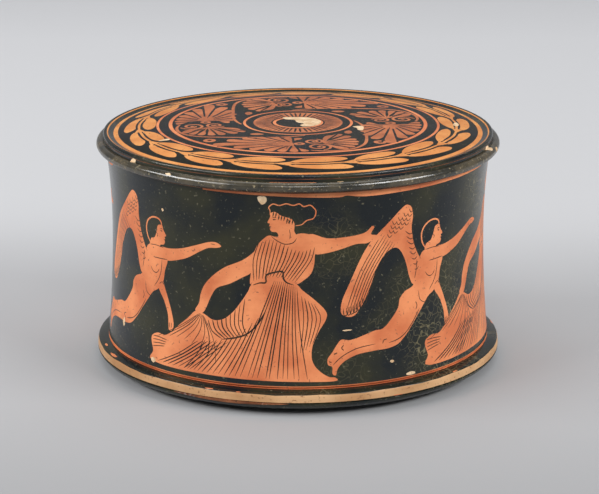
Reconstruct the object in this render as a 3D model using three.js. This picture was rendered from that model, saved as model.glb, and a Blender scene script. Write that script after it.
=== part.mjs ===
// A Greek pyxis with a slip-over lid, in fired clay. The box has a floor, a tall plain inner wall, a
// spreading flange and a low ring foot. The lid's concave wall slides down over the inner wall and
// stands on the flange. Both are turned on a wheel, so each is one outline revolved about +Z.
// Millimetres, +Z up, origin on the axis in the plane that the foot stands on.

import * as THREE from "three";

// Driving dimensions of the whole vessel
const FLANGE_RADIUS = 75;
const TOTAL_HEIGHT = 88.5;
const BAND_BOTTOM = 5.5;
const BAND_HEIGHT = 2.85;

// Fit of the lid over the box
const SEAT_GAP = 0.4;
const SLIP_CLEARANCE = 1.1;

// Ring foot and underside of the box
const FOOT_OUTER_RADIUS = 60.4;
const FOOT_FLAT_WIDTH = 4.6;
const FOOT_HEIGHT = 1.9;
const FOOT_EDGE = 0.5;
const UNDERSIDE_RISE = 2.4;
const UNDERSIDE_CROWN = 0.7;

// Flange of the box
const FLANGE_UNDER_RADIUS = 71;
const GROOVE_DEPTH = 0.45;
const GROOVE_HEIGHT = 0.6;
const FLANGE_LIP = 0.5;
const SEAT_HEIGHT = 9.2;
const SEAT_RADIUS = 71;

// Inner wall and floor of the box
const INNER_WALL_RADIUS = 63.6;
const INNER_WALL_THICKNESS = 3.8;
const INNER_WALL_TOP = 79;
const INNER_WALL_FILLET = 1;
const FLOOR_HEIGHT = 7.8;
const FLOOR_DISH = 0.5;
const FLOOR_FILLET = 5;

// Concave wall of the lid
const SKIRT_RADIUS = 70.95;
const SKIRT_EDGE = 0.45;
const SKIRT_THICKNESS = 5.2;
const WAIST_RADIUS = 68.8;
const WAIST_HEIGHT = 52.5;
const SHOULDER_RADIUS = 70.5;
const SHOULDER_HEIGHT = 79.2;

// Rim moulding of the lid: a torus, a fine groove and a bead
const TORUS_SIZE = 1.85;
const TORUS_HEIGHT = 82.1;
const TORUS_REACH = 74.15;
const COVE_GAP = 0.4;
const BEAD_SIZE = 0.9;
const BEAD_HEIGHT = 85.5;
const BEAD_REACH = 71.65;

// Top field of the lid
const VALLEY_RADIUS = 67.6;
const VALLEY_HEIGHT = 85.5;
const FIELD_FLAT_RADIUS = 38;
const TOP_THICKNESS = 5.4;
const CEILING_FILLET = 7;

// Steps round the vessel, and along its bends and rounds
const TURNS = 72;
const FINE = 2;
const MIDDLE = 4;
const LONG = 6;

const DEGREE = Math.PI / 180;

// Half a section, drawn in radius and height from one end on the axis to the other.
class Outline {
  constructor(height) {
    this.points = [new THREE.Vector2(0, height)];
  }

  line(radius, height) {
    this.points.push(new THREE.Vector2(radius, height));
    return this;
  }

  // A soft bend from the last point, pulled towards a corner.
  bend(cornerRadius, cornerHeight, radius, height, steps) {
    const curve = new THREE.QuadraticBezierCurve(
      this.points.at(-1),
      new THREE.Vector2(cornerRadius, cornerHeight),
      new THREE.Vector2(radius, height),
    );
    this.points.push(...curve.getPoints(steps).slice(1));
    return this;
  }

  // A true round about a centre, between two angles in degrees.
  round(centreRadius, centreHeight, size, from, to, steps) {
    const clockwise = to < from;
    const curve = new THREE.EllipseCurve(
      centreRadius, centreHeight, size, size, from * DEGREE, to * DEGREE, clockwise,
    );
    this.points.push(...curve.getPoints(steps));
    return this;
  }

  // The solid that the outline sweeps about +Z.
  turned() {
    return new THREE.LatheGeometry(this.points, TURNS).rotateX(Math.PI / 2);
  }
}

// Underside with its shallow crown, then the ring foot that the box stands on.
function drawFoot(outline) {
  const flatOuter = FOOT_OUTER_RADIUS - FOOT_EDGE;
  const flatInner = flatOuter - FOOT_FLAT_WIDTH;
  const innerSide = flatInner - FOOT_EDGE;
  outline.line(innerSide - UNDERSIDE_RISE, UNDERSIDE_RISE);
  outline.bend(innerSide, UNDERSIDE_RISE, innerSide, FOOT_EDGE, FINE);
  outline.bend(innerSide, 0, flatInner, 0, FINE);
  outline.line(flatOuter, 0);
  outline.bend(FOOT_OUTER_RADIUS, 0, FOOT_OUTER_RADIUS, FOOT_EDGE, FINE);
  outline.bend(FOOT_OUTER_RADIUS, FOOT_HEIGHT, FOOT_OUTER_RADIUS + FOOT_HEIGHT, FOOT_HEIGHT, FINE);
}

// Rounded lower edge, fine turned groove, upright band, and the sloping top up to the lid's seat.
function drawFlange(outline) {
  const groove = BAND_BOTTOM - GROOVE_HEIGHT / 2;
  const bandTop = BAND_BOTTOM + BAND_HEIGHT;
  const lipRadius = FLANGE_RADIUS - FLANGE_LIP;
  outline.line(FLANGE_UNDER_RADIUS, FOOT_HEIGHT);
  outline.bend(
    FLANGE_RADIUS - GROOVE_DEPTH, FOOT_HEIGHT + GROOVE_HEIGHT * 2,
    FLANGE_RADIUS, BAND_BOTTOM - GROOVE_HEIGHT, MIDDLE,
  );
  outline.line(FLANGE_RADIUS - GROOVE_DEPTH, groove);
  outline.line(FLANGE_RADIUS, BAND_BOTTOM);
  outline.bend(FLANGE_RADIUS, bandTop, lipRadius, bandTop, MIDDLE);
  outline.line(SEAT_RADIUS, SEAT_HEIGHT);
}

// Plain wall that the lid hides, with a half-round rim.
function drawInnerWall(outline) {
  const inside = INNER_WALL_RADIUS - INNER_WALL_THICKNESS;
  const rimSize = INNER_WALL_THICKNESS / 2;
  const filletTop = SEAT_HEIGHT + INNER_WALL_FILLET;
  outline.line(INNER_WALL_RADIUS + INNER_WALL_FILLET, SEAT_HEIGHT);
  outline.bend(INNER_WALL_RADIUS, SEAT_HEIGHT, INNER_WALL_RADIUS, filletTop, FINE);
  outline.round(inside + rimSize, INNER_WALL_TOP - rimSize, rimSize, 0, 180, LONG);
  outline.line(inside, FLOOR_HEIGHT + FLOOR_FILLET);
  outline.bend(inside, FLOOR_HEIGHT, inside - FLOOR_FILLET, FLOOR_HEIGHT, MIDDLE);
}

function makeBox() {
  const outline = new Outline(UNDERSIDE_RISE + UNDERSIDE_CROWN);
  drawFoot(outline);
  drawFlange(outline);
  drawInnerWall(outline);
  outline.line(0, FLOOR_HEIGHT - FLOOR_DISH);
  return outline.turned();
}

// Inside of the lid, from the ceiling down the bore that slips over the inner wall.
function drawBore(outline) {
  const bore = INNER_WALL_RADIUS + SLIP_CLEARANCE;
  const ceiling = TOTAL_HEIGHT - TOP_THICKNESS;
  const skirtInside = SKIRT_RADIUS - SKIRT_THICKNESS;
  const foot = SEAT_HEIGHT + SEAT_GAP;
  outline.line(bore - CEILING_FILLET, ceiling);
  outline.bend(bore, ceiling, bore, ceiling - CEILING_FILLET, MIDDLE);
  outline.line(bore, WAIST_HEIGHT);
  outline.bend(bore, (WAIST_HEIGHT + foot) / 2, skirtInside, foot + SKIRT_EDGE, MIDDLE);
  outline.line(skirtInside + SKIRT_EDGE, foot);
}

// Foot of the wall, then the long concave sweep through the waist to the shoulder.
function drawSkirt(outline) {
  const foot = SEAT_HEIGHT + SEAT_GAP;
  const start = foot + SKIRT_EDGE;
  outline.line(SKIRT_RADIUS - SKIRT_EDGE, foot);
  outline.bend(SKIRT_RADIUS, foot, SKIRT_RADIUS, start, FINE);
  outline.bend(WAIST_RADIUS, (start + WAIST_HEIGHT) / 2, WAIST_RADIUS, WAIST_HEIGHT, LONG);
  const upper = (WAIST_HEIGHT + SHOULDER_HEIGHT) / 2;
  outline.bend(WAIST_RADIUS, upper, SHOULDER_RADIUS, SHOULDER_HEIGHT, LONG);
}

// Cove under the torus, the torus, the groove above it and the bead.
function drawRim(outline) {
  const torusRadius = TORUS_REACH - TORUS_SIZE;
  const torusBottom = TORUS_HEIGHT - TORUS_SIZE;
  const beadRadius = BEAD_REACH - BEAD_SIZE;
  outline.bend(SHOULDER_RADIUS, torusBottom, torusRadius - COVE_GAP, torusBottom, FINE);
  outline.round(torusRadius, TORUS_HEIGHT, TORUS_SIZE, -90, 110, LONG * 2);
  outline.round(beadRadius, BEAD_HEIGHT, BEAD_SIZE, -40, 100, LONG);
}

// Shallow valley inside the bead, then the top field that rises and flattens to the middle.
function drawField(outline) {
  outline.bend(VALLEY_RADIUS + BEAD_SIZE, VALLEY_HEIGHT, VALLEY_RADIUS, VALLEY_HEIGHT, FINE);
  const crownRadius = (VALLEY_RADIUS * 2 + FIELD_FLAT_RADIUS) / 3;
  const crownHeight = TOTAL_HEIGHT - (TOTAL_HEIGHT - VALLEY_HEIGHT) / 8;
  outline.bend(crownRadius, crownHeight, FIELD_FLAT_RADIUS, TOTAL_HEIGHT, LONG);
}

function makeLid() {
  const outline = new Outline(TOTAL_HEIGHT - TOP_THICKNESS);
  drawBore(outline);
  drawSkirt(outline);
  drawRim(outline);
  drawField(outline);
  outline.line(0, TOTAL_HEIGHT);
  return outline.turned();
}

// Iron-rich clay under a black gloss slip, seen most of all on both pieces.
const blackGloss = new THREE.MeshStandardMaterial({
  color: 0x2f322b,
  roughness: 0.3,
  metalness: 0,
});

// Reserved clay, where the slip was left off.
const firedClay = new THREE.MeshStandardMaterial({
  color: 0xcf8152,
  roughness: 0.6,
  metalness: 0,
});

const box = new THREE.Mesh(makeBox(), firedClay);
box.name = "box";

const lid = new THREE.Mesh(makeLid(), blackGloss);
lid.name = "lid";

const pyxis = new THREE.Group();
pyxis.add(box, lid);

export default pyxis;
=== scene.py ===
"""Greek pyxis with a slip-over lid: turned clay, black gloss slip, reserved figures and ornament.

Lengths are drawn in millimetres and written to the meshes in metres. The figured side faces -Y.
"""
import logging
import math
import random
from dataclasses import dataclass, field
from enum import IntEnum

import bpy
import numpy as np
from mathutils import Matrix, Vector
from mathutils.geometry import delaunay_2d_cdt


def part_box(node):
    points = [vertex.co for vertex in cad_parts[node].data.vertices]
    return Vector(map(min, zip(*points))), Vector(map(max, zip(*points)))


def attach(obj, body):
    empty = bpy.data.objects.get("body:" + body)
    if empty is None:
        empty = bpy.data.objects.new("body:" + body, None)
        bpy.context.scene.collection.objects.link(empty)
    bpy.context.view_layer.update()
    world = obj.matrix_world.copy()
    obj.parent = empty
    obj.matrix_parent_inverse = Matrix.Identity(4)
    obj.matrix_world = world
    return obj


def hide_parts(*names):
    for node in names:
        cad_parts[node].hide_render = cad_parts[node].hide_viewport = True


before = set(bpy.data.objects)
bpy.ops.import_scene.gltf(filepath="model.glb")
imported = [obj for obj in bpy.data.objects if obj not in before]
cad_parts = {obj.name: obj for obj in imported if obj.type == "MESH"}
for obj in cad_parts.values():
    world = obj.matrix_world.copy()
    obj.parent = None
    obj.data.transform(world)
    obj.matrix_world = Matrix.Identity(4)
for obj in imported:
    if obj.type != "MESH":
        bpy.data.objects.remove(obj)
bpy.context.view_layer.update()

log = logging.getLogger("pyxis")
Point = tuple[float, float]
Place = tuple[float, float, float]
Colour = tuple[float, float, float]

MM = 0.001
TURNS = 240
LONGEST_EDGE = 1.84
UNROLL_RADIUS = 70.0
HALF_ROUND = math.pi * UNROLL_RADIUS
REPEATS = 4
REPEAT_PITCH = 2 * HALF_ROUND / REPEATS
RELIEF_WIDTH = 0.42
FIELD_SPACING = 3.2
MERGE_DISTANCE = 2e-6
SHARP_ANGLE = 38.0
GRAIN_SCALE = 900.0
WHEEL_MARK_HEIGHT = 0.0004
PIT_HEIGHT = 0.00012
PICTURE_WIDTH = 599


class Paint(IntEnum):
    """What covers a patch of the clay, in the order of the material slots."""

    GLOSS = 0
    CLAY = 1
    RELIEF = 2
    DILUTE = 3
    CHIP = 4
    LEAF = 5
    DEEP = 6
    PALE = 7
    DULL = 8
    WORN = 9


def bend(start: Point, corner: Point, end: Point, steps: int) -> list[Point]:
    """Points of a soft bend from start to end, pulled towards a corner, without the start.

    Args:
        start: First end of the bend.
        corner: The point that the bend is pulled towards.
        end: Last end of the bend.
        steps: How many points it gives.

    Returns:
        The points, ending with end.
    """
    found = []
    for k in range(1, steps + 1):
        t = k / steps
        weights = ((1 - t) ** 2, 2 * t * (1 - t), t * t)
        found.append(tuple(sum(w * p[i] for w, p in zip(weights, (start, corner, end))) for i in (0, 1)))
    return found


def arc(centre: Point, size: float, first: float, last: float, steps: int) -> list[Point]:
    """Points of a round about a centre."""
    angles = [math.radians(first + (last - first) * k / steps) for k in range(steps + 1)]
    return [(centre[0] + size * math.cos(a), centre[1] + size * math.sin(a)) for a in angles]


def flowing(points: list[Point], closed: bool = True, steps: int = 4) -> list[Point]:
    """A curve that runs smoothly through given points.

    Args:
        points: The points to pass through.
        closed: Whether the curve returns to its first point.
        steps: Points on each stretch.

    Returns:
        The points of the curve.
    """
    ring = [np.array(p, float) for p in points]
    count = len(ring)
    found = []
    for i in range(count if closed else count - 1):
        if closed:
            a, b, c, d = (ring[(i + k) % count] for k in (-1, 0, 1, 2))
        else:
            a, b, c, d = (ring[min(max(i + k, 0), count - 1)] for k in (-1, 0, 1, 2))
        for k in range(steps):
            t = k / steps
            place = 0.5 * (2 * b + (c - a) * t + (2 * a - 5 * b + 4 * c - d) * t * t
                           + (3 * b - a - 3 * c + d) * t ** 3)
            found.append(tuple(place))
    if not closed:
        found.append(tuple(ring[-1]))
    return found


def shares(count: int) -> list[float]:
    """Evenly spaced values from 0 to 1."""
    return [k / (count - 1) for k in range(count)]


def stroke(path: list[Point], width: float, taper: float = 0.25) -> list[Point]:
    """Outline of a brush stroke along a path, thinner at both ends.

    Args:
        path: The middle line of the stroke.
        width: Its width in the middle.
        taper: Share of the width that is left at the ends.

    Returns:
        The closed outline.
    """
    line = np.array(path, float)
    along = np.gradient(line, axis=0)
    along /= np.maximum(np.linalg.norm(along, axis=1, keepdims=True), 1e-9)
    across = np.stack([-along[:, 1], along[:, 0]], 1)
    share = np.linspace(0, 1, len(line))
    swell = taper + (1 - taper) * np.minimum(1, np.minimum(share, 1 - share) * 6)
    offset = across * (width / 2 * swell)[:, None]
    return [tuple(p) for p in np.vstack([line + offset, (line - offset)[::-1]])]


def close_set(outline: list[Point]) -> list[Point]:
    """Divides the long edges of an outline, so that they follow the curve of the clay.

    Args:
        outline: The closed outline.

    Returns:
        The same outline with more points.
    """
    found = []
    for a, b in zip(outline, outline[1:] + outline[:1]):
        count = max(1, math.ceil(math.dist(a, b) / LONGEST_EDGE))
        found += [(a[0] + (b[0] - a[0]) * k / count, a[1] + (b[1] - a[1]) * k / count) for k in range(count)]
    return found


def turned(points: list[Point], degrees: float) -> list[Point]:
    """The points, turned about the axis of the vessel."""
    c, s = math.cos(math.radians(degrees)), math.sin(math.radians(degrees))
    return [(x * c - y * s, x * s + y * c) for x, y in points]


def at(radius: float, degrees: float) -> Point:
    """A place on the top by its radius and its angle."""
    return radius * math.cos(math.radians(degrees)), radius * math.sin(math.radians(degrees))


def pairs(rows: list[np.ndarray]) -> list[Point]:
    """The rows as plain pairs."""
    return [tuple(row) for row in rows]


def inside(outline: np.ndarray, spots: np.ndarray) -> np.ndarray:
    """Whether each spot lies inside an outline, by its winding.

    Args:
        outline: The corners of a closed outline.
        spots: The places to test.

    Returns:
        One truth value for each spot.
    """
    wound = np.zeros(len(spots), int)
    for (x0, y0), (x1, y1) in zip(outline, np.roll(outline, -1, axis=0)):
        side = (x1 - x0) * (spots[:, 1] - y0) - (spots[:, 0] - x0) * (y1 - y0)
        wound += (y0 <= spots[:, 1]) & (y1 > spots[:, 1]) & (side > 0)
        wound -= (y0 > spots[:, 1]) & (y1 <= spots[:, 1]) & (side < 0)
    return wound != 0


@dataclass
class Sheet:
    """A painted stretch of surface, drawn flat and then cut along every painted outline."""

    ground: Paint = Paint.GLOSS
    shapes: list[tuple[Paint, list[Point]]] = field(default_factory=list)

    def add(self, paint: Paint, outline: list[Point]) -> None:
        """Lays one painted shape over those before it."""
        self.shapes.append((paint, close_set(outline)))

    def cut(self, rim: list[Point], grid: list[Point]) -> tuple[np.ndarray, list, list[int]]:
        """Cuts the sheet into triangles along its outlines.

        Args:
            rim: The closed edge of the sheet.
            grid: Places inside it that need a point of their own.

        Returns:
            The flat points, the triangles and each triangle's paint.
        """
        points, edges = [], []
        for outline in [rim] + [shape for _, shape in self.shapes]:
            first = len(points)
            points += [Vector(p) for p in outline]
            edges += [(first + i, first + (i + 1) % len(outline)) for i in range(len(outline))]
        points += [Vector(p) for p in grid]
        made = delaunay_2d_cdt(points, edges, [], 0, 1e-5, False)
        flat = np.array([tuple(v) for v in made[0]])
        triangles = np.array([tuple(f) for f in made[2] if len(f) == 3])
        middles = flat[triangles].mean(axis=1)
        kept = inside(np.array(rim), middles)
        triangles, middles = triangles[kept], middles[kept]
        paints = np.full(len(triangles), int(self.ground))
        for paint, shape in self.shapes:
            outline = np.array(shape)
            low, high = outline.min(0), outline.max(0)
            near = np.nonzero(((middles >= low) & (middles <= high)).all(1))[0]
            if len(near):
                paints[near[inside(outline, middles[near])]] = int(paint)
        return flat, triangles.tolist(), paints.tolist()


@dataclass
class Profile:
    """A stretch of a turned outline in radius and height, with a measure along it."""

    points: list[Point]
    measure: list[float]

    def at(self, value: np.ndarray) -> tuple[np.ndarray, np.ndarray]:
        """Reads the outline at many places.

        Args:
            value: Values of the measure.

        Returns:
            The radius and the height at each value.
        """
        radius = np.interp(value, self.measure, [p[0] for p in self.points])
        height = np.interp(value, self.measure, [p[1] for p in self.points])
        return radius, height

    def place_of(self, radius: float, height: float) -> float:
        """Finds a place of the outline."""
        gaps = [math.hypot(radius - r, height - z) for r, z in self.points]
        return self.measure[gaps.index(min(gaps))]


def measured(points: list[Point], start: float) -> list[float]:
    """Running length along the points.

    Args:
        points: The points in their order.
        start: Value of the first point.

    Returns:
        One value for each point.
    """
    found = [start]
    for a, b in zip(points, points[1:]):
        found.append(found[-1] + math.dist(a, b))
    return found


@dataclass(frozen=True)
class Spot:
    """A chipped spot with a ragged edge, at a place on a sheet."""

    across: float
    up: float
    size: float
    tall: float

    def outline(self, seed: int, least: float, most: float) -> list[Point]:
        """Draws the ragged edge.

        Args:
            seed: Start of the random draws.
            least: Least share of the size that a corner reaches.
            most: Greatest share of the size that a corner reaches.

        Returns:
            The closed outline.
        """
        draw = random.Random(seed)
        corners = []
        for angle in np.linspace(0, 2 * math.pi, 9)[:-1]:
            across = self.across + self.size * draw.uniform(least, most) * math.cos(angle)
            corners.append((across, self.up + self.tall * draw.uniform(least, most) * math.sin(angle)))
        return flowing(corners)


def new_mesh(name: str, points: list, faces: list) -> bpy.types.Object:
    """A new object in the scene, with a slot for each paint.

    Args:
        name: Name of the object and its mesh.
        points: Its points in millimetres.
        faces: Its faces, by the numbers of their points.

    Returns:
        The object.
    """
    mesh = bpy.data.meshes.new(name)
    mesh.from_pydata([tuple(c * MM for c in p) for p in points], [], faces)
    for finish in FINISHES.values():
        mesh.materials.append(bpy.data.materials[finish.name])
    made = bpy.data.objects.new(name, mesh)
    bpy.context.scene.collection.objects.link(made)
    return made


def select(pieces: list[bpy.types.Object]) -> None:
    """Selects these objects alone and makes the first one active.

    Args:
        pieces: The objects.
    """
    bpy.ops.object.select_all(action="DESELECT")
    for piece in pieces:
        piece.select_set(True)
    bpy.context.view_layer.objects.active = pieces[0]


def spun(name: str, outline: list[Point], paint: Paint) -> bpy.types.Object:
    """Spins a plain outline about the axis, as on the wheel.

    Args:
        name: Name of the new object.
        outline: Points in radius and height.
        paint: The finish of all its faces.

    Returns:
        The new object.
    """
    made = new_mesh(name, [(0, -r, z) for r, z in outline], [])
    made.data.edges.add(len(outline) - 1)
    for i, edge in enumerate(made.data.edges):
        edge.vertices = (i, i + 1)
    select([made])
    bpy.ops.object.mode_set(mode="EDIT")
    bpy.ops.mesh.select_all(action="SELECT")
    bpy.ops.mesh.spin(steps=TURNS, angle=2 * math.pi, center=(0, 0, 0), axis=(0, 0, 1))
    bpy.ops.mesh.select_all(action="SELECT")
    bpy.ops.mesh.remove_doubles(threshold=MERGE_DISTANCE)
    bpy.ops.object.mode_set(mode="OBJECT")
    made.data.polygons.foreach_set("material_index", [int(paint)] * len(made.data.polygons))
    return made


def round_sheet(name: str, sheet: Sheet, profile: Profile) -> bpy.types.Object:
    """Wraps a painted sheet round the axis.

    Args:
        name: Name of the new object.
        sheet: The shapes, in length round the vessel and in the profile's measure.
        profile: The outline that the sheet is wrapped on.

    Returns:
        The new object.
    """
    across = [HALF_ROUND * (2 * k / TURNS - 1) for k in range(TURNS + 1)]
    low, high = profile.measure[0], profile.measure[-1]
    inner = profile.measure[1:-1]
    rim = [(u, low) for u in across] + [(HALF_ROUND, v) for v in inner]
    rim += [(u, high) for u in reversed(across)] + [(-HALF_ROUND, v) for v in reversed(inner)]
    grid = [(u, v) for v in inner for u in across[1:-1]]
    flat, triangles, paints = sheet.cut(rim, grid)
    radius, height = profile.at(flat[:, 1])
    angle = flat[:, 0] / UNROLL_RADIUS
    points = np.stack([radius * np.sin(angle), -radius * np.cos(angle), height], 1)
    made = new_mesh(name, points.tolist(), triangles)
    made.data.polygons.foreach_set("material_index", paints)
    return made


def disc_sheet(name: str, sheet: Sheet, profile: Profile) -> bpy.types.Object:
    """Lays a painted sheet over a round field.

    Args:
        name: Name of the new object.
        sheet: The shapes, in X and Y.
        profile: The field's outline, measured by its radius.

    Returns:
        The new object.
    """
    radius = profile.measure[-1]
    steps = [2 * math.pi * k / TURNS for k in range(TURNS)]
    rim = [(radius * math.sin(angle), -radius * math.cos(angle)) for angle in steps]
    grid = [(0.0, 0.0)]
    for ring in np.arange(FIELD_SPACING, radius - FIELD_SPACING / 3, FIELD_SPACING):
        count = max(12, int(2 * math.pi * ring / FIELD_SPACING))
        grid += [at(ring, 360 * k / count) for k in range(count)]
    flat, triangles, paints = sheet.cut(rim, grid)
    height = profile.at(np.hypot(flat[:, 0], flat[:, 1]))[1]
    made = new_mesh(name, np.column_stack([flat, height]).tolist(), triangles)
    made.data.polygons.foreach_set("material_index", paints)
    return made


def joined(name: str, pieces: list[bpy.types.Object]) -> bpy.types.Object:
    """Joins stretches of one clay surface.

    Args:
        name: Name of the joined piece.
        pieces: The stretches, which meet at their edges.

    Returns:
        One closed mesh, smooth but for its sharp edges.
    """
    select(pieces)
    bpy.ops.object.join()
    made = bpy.context.view_layer.objects.active
    made.name = name
    made.data.name = name
    bpy.ops.object.mode_set(mode="EDIT")
    bpy.ops.mesh.select_all(action="SELECT")
    bpy.ops.mesh.delete_loose()
    bpy.ops.mesh.select_all(action="SELECT")
    bpy.ops.mesh.remove_doubles(threshold=MERGE_DISTANCE)
    bpy.ops.mesh.normals_make_consistent(inside=False)
    bpy.ops.object.mode_set(mode="OBJECT")
    bpy.ops.object.shade_smooth_by_angle(angle=math.radians(SHARP_ANGLE))
    return made


@dataclass
class Figures:
    """The frieze on the lid's wall: running women and flying winged youths by turns.

    Places are lengths round the vessel, from the middle of the front, and heights.
    """

    sheet: Sheet
    shift: float = 0.0
    seed: int = 1
    early: tuple[float, ...] = (16.0, 0.0, 2.0, 6.0)

    def lay(self, paint: Paint, outline: list[Point]) -> None:
        """Adds a shape at this repeat's place, and again where it crosses the seam.

        Args:
            paint: What covers the shape.
            outline: Its outline in the first repeat.
        """
        moved = [(u + self.shift, v) for u, v in outline]
        self.sheet.add(paint, moved)
        if min(u for u, _ in moved) < -HALF_ROUND:
            self.sheet.add(paint, [(u + 2 * HALF_ROUND, v) for u, v in moved])
        if max(u for u, _ in moved) > HALF_ROUND:
            self.sheet.add(paint, [(u - 2 * HALF_ROUND, v) for u, v in moved])

    def line(self, points: list[Point], width: float = RELIEF_WIDTH, steps: int = 4) -> None:
        """Draws one relief line."""
        self.lay(Paint.RELIEF, stroke(flowing(points, False, steps), width))

    def reserve(self, points: list[Point], width: float) -> None:
        """Leaves one thin reserved contour."""
        self.lay(Paint.CLAY, stroke(flowing(points, False), width, 0.6))

    def woman(self) -> None:
        """A running woman who looks back, one hand out, the other on her blown skirt."""
        skirt = [(-58.6, 21.6), (-59, 19.5), (-57.8, 16), (-57.4, 12.2), (-30, 12), (0, 11.8),
                 (12.8, 11.7), (13, 13), (10.6, 13.4), (7, 16), (4.9, 19.6), (5.1, 24.5), (7.2, 29.5),
                 (9.9, 34), (9.8, 37), (6, 41), (1.6, 44.6), (-1, 47), (-8, 48.5), (-16, 46.4),
                 (-17.8, 43.6), (-20.4, 39.6), (-23.5, 35.6), (-27, 32.8), (-31, 32), (-34.6, 33.6),
                 (-38, 34.4), (-41.5, 31.2), (-45.5, 27.8), (-49, 24.6), (-52, 22.9), (-55.6, 23)]
        bodice = [(-16.4, 45.8), (-16.8, 50), (-16, 56), (-14.6, 60), (-12, 63), (-9.6, 64.2), (-5, 62.6),
                  (0, 65), (4, 64.8), (8, 63.4), (7, 60), (6, 57.6), (5.7, 54), (4.6, 50.6), (2, 48.2),
                  (-1, 46.6), (-8, 46)]
        arm_down = [(-11, 63.6), (-15.4, 58.2), (-20, 54.6), (-26.4, 51.6), (-31.2, 48), (-34.6, 44.2),
                    (-36.2, 40.6), (-36.8, 37.4), (-38.4, 34.6), (-36.4, 33.6), (-34.4, 35), (-32, 40.2),
                    (-29.6, 43.7), (-24.6, 45.8), (-19.6, 48.6), (-16.6, 50.4), (-12, 55)]
        arm_out = [(4, 64.9), (10, 63.2), (16, 63.2), (21.6, 63.8), (24.4, 64.6), (26.4, 66.4), (27.4, 66),
                   (26.2, 63.6), (28.6, 63), (30.4, 62.2), (30.2, 61.2), (27, 61.2), (24.6, 60.4),
                   (20.6, 60.4), (15, 58.9), (10, 57.8), (6, 57.6), (3, 60)]
        for part in (skirt, bodice, arm_down, arm_out):
            self.lay(Paint.CLAY, flowing(part))
        self.woman_head()
        self.woman_pleats()

    def woman_head(self) -> None:
        """Her head in profile with bound-up hair, which the slip fills inside a reserved contour."""
        face = [(-9.4, 72.4), (-9.7, 70.9), (-10.6, 68.9), (-9.8, 68.5), (-10, 67.7), (-9.7, 67.2),
                (-9.8, 66.5), (-9.1, 65.6), (-7.4, 65.4), (-6.9, 64), (-8.6, 63.6), (-5, 61.6), (-0.6, 63.6),
                (-1.3, 66), (-1.2, 68.6), (-2.4, 70.4), (-5.6, 71.4), (-7.8, 72.8)]
        self.lay(Paint.CLAY, flowing(face))
        hair = [(-9.6, 71.6), (-9.7, 73.4), (-10.1, 74.4), (-8.6, 75.7), (-6.4, 75.2), (-4, 75.9),
                (-1.6, 75.3), (0.4, 75.9), (2, 74.9), (4, 75.4), (5.2, 74.6), (6.2, 73), (5.4, 70.6),
                (3, 69.8), (1.2, 68.3), (-1.4, 67.9)]
        self.reserve(hair, 0.42)
        for k in range(9):
            u = -8.4 + 0.95 * k
            base = 71.9 - 0.42 * k + 0.3 * math.sin(2.1 * k)
            self.lay(Paint.GLOSS, stroke([(u, base + 1.2), (u - 0.15, base), (u - 0.35, base - 0.9)], 0.5))
        self.line([(-8.9, 70.6), (-8.2, 70.9), (-7.5, 70.7)], 0.26)
        self.line([(-8.8, 70), (-8.2, 70.2), (-7.6, 69.9)], 0.24)
        self.lay(Paint.RELIEF, arc((-8.35, 69.95), 0.22, 0, 330, 8))
        self.line([(-9.9, 67.5), (-9.3, 67.5)], 0.22)
        self.line([(-3.7, 70.4), (-3.1, 69.6), (-3.5, 68.6)], 0.26)
        self.line([(-9.4, 64), (-7.4, 62.4), (-4.6, 61.2), (-1.8, 61.7), (-0.4, 63.4)], 0.3)
        self.line([(-3, 66.6), (-2.7, 64.6), (-2.9, 63)], 0.22)

    def woman_pleats(self) -> None:
        """The fine folds of her dress, from the neckline to the belt and from the belt to the hem."""
        draw = random.Random(self.seed)
        for share in shares(16):
            top = (-13.8 + 19.6 * share, 61.4 + 1.6 * math.sin(math.pi * share * 2) - 1.4 * share)
            waist = (-15.6 + 14.4 * share + draw.uniform(-0.2, 0.2), 47.4 + 1.8 * math.sin(math.pi * share))
            middle = ((top[0] + waist[0]) / 2 + (share - 0.35) * 3.2, 55)
            self.line([top, middle, waist], draw.uniform(0.28, 0.4))
        belt = [(-16, 46), (-13.6, 46.9), (-11.4, 47.2), (-11.2, 49.8), (-8, 51), (-5.4, 51.2), (-5.2, 49),
                (-4, 47.4), (-1.4, 46.5)]
        self.line(belt, 0.62)
        for share in shares(23):
            waist = (-15 + 14.6 * share, 45.6 + 2.2 * math.sin(math.pi * share))
            hem = (-43 + 46 * share + draw.uniform(-0.5, 0.5), 12.6 + 0.2 * draw.random())
            if share < 0.42:
                reach = share / 0.42
                waist = (-34 + 20.5 * reach, 24.4 + 10.4 * reach * reach)
            knee = ((waist[0] + hem[0]) / 2 + 1.6 * (0.6 - share), (waist[1] + hem[1]) / 2)
            self.line([waist, knee, hem], draw.uniform(0.28, 0.44), 5)
        for share in shares(5):
            self.line([(1.2 + 4.6 * share, 42.6 - 3.4 * share), (2 + 6 * share, 34),
                       (0.8 + 4.2 * share, 22 + 3 * share)], draw.uniform(0.26, 0.38))
        for share in shares(9):
            grip = (-36.6 + 1.6 * share, 33.6 - 0.5 * share)
            end = (-56.6 + 27 * share, 21.4 - 5.4 * share + 4.2 * math.sin(math.pi * share))
            middle = ((grip[0] + end[0]) / 2 + 1.6, (grip[1] + end[1]) / 2 + 0.2)
            self.line([grip, middle, end], draw.uniform(0.22, 0.36))
        for share in shares(9):
            self.line([(-33 + 14 * share, 31.8 + 9 * share * share), (-31.4 + 11.6 * share, 28 + 4 * share),
                       (-27.4 + 9.6 * share, 25.6 + 1.6 * share)], draw.uniform(0.3, 0.5))
        for share in shares(7):
            self.line([(-37 + 12 * share, 23.6 + 1.2 * share), (-45.4 + 12 * share, 17.6 + 0.6 * share),
                       (-55 + 15 * share, 12.8)], draw.uniform(0.3, 0.5))
        for k in range(4):
            self.line([(-58.2, 17.6 + 1.3 * k), (-55, 18.3 + 1.1 * k), (-52 + 0.4 * k, 18.8 + 0.8 * k)], 0.3)
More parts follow.
